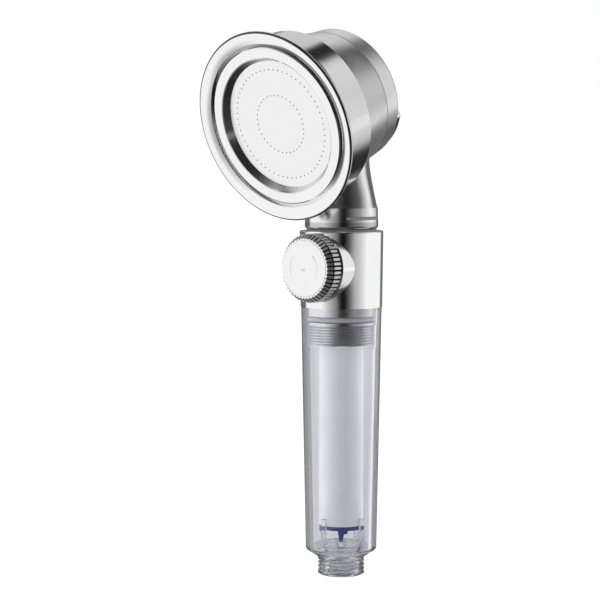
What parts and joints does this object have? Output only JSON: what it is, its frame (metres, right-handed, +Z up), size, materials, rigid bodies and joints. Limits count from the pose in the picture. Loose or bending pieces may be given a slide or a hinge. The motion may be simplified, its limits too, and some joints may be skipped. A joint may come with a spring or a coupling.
{
  "type": "handheld shower head",
  "caption": "Handheld shower head with a clear tapered filter handle, a stop valve with a fluted knob, and a round swivelling spray head.",
  "frame": {"origin": "centre of the inlet's end face, at the foot of the handle", "axes": "+Z up the handle's axis, -Y the way the valve knob and the spray face point, +X to the right seen from the front"},
  "size_m": [0.0846, 0.0769, 0.2436],
  "materials": {
    "clear_plastic": "clear, polished",
    "navy_plastic": "moulded, gloss",
    "filter_cotton": "pressed fibre, matt",
    "white_plastic": "moulded, satin",
    "black_rubber": "matt",
    "pale_rubber": "pale grey-green, satin",
    "grey_plastic": "moulded, satin",
    "chrome": "mirror-polished plating",
    "polished_cap": "polished, slightly soft plating",
    "brass": "turned",
    "steel": "turned",
    "plate_steel": "satin stainless steel"
  },
  "bodies": {
    "handle": {"clear_handle": "clear_plastic", "filter_cage": "clear_plastic", "filter_end_cap": "navy_plastic", "filter_element": "filter_cotton", "filter_top_cap": "white_plastic", "filter_top_seal": "black_rubber", "handle_seal": "pale_rubber", "valve_body": "chrome", "valve_seat": "white_plastic", "stem_gland": "brass", "swivel_spigot": "brass", "swivel_seal": "black_rubber", "swivel_washer": "grey_plastic"},
    "knob": {"valve_stem": "brass", "stem_seals": "black_rubber", "knob": "chrome", "knob_cap": "polished_cap", "knob_screw": "steel"},
    "head": {"neck": "chrome", "swivel_clip": "grey_plastic", "neck_seal": "black_rubber", "neck_screws": "steel", "head_housing": "chrome", "housing_seal": "black_rubber", "nozzle_body": "white_plastic", "diffuser_plate": "white_plastic", "plate_seal": "black_rubber", "spray_plate": "plate_steel", "face_ring": "chrome", "bezel_ring": "chrome"}
  },
  "joints": [
    {"name": "head_swivel", "type": "hinge", "parent": "handle", "child": "head", "pos_m": [0, 0, 0.1546], "axis": [0, 0, 1], "continuous": true},
    {"name": "knob_turn", "type": "hinge", "parent": "handle", "child": "knob", "pos_m": [0, -0.0179, 0.1387], "axis": [0, 1, 0], "range_deg": [0, 90]}
  ]
}
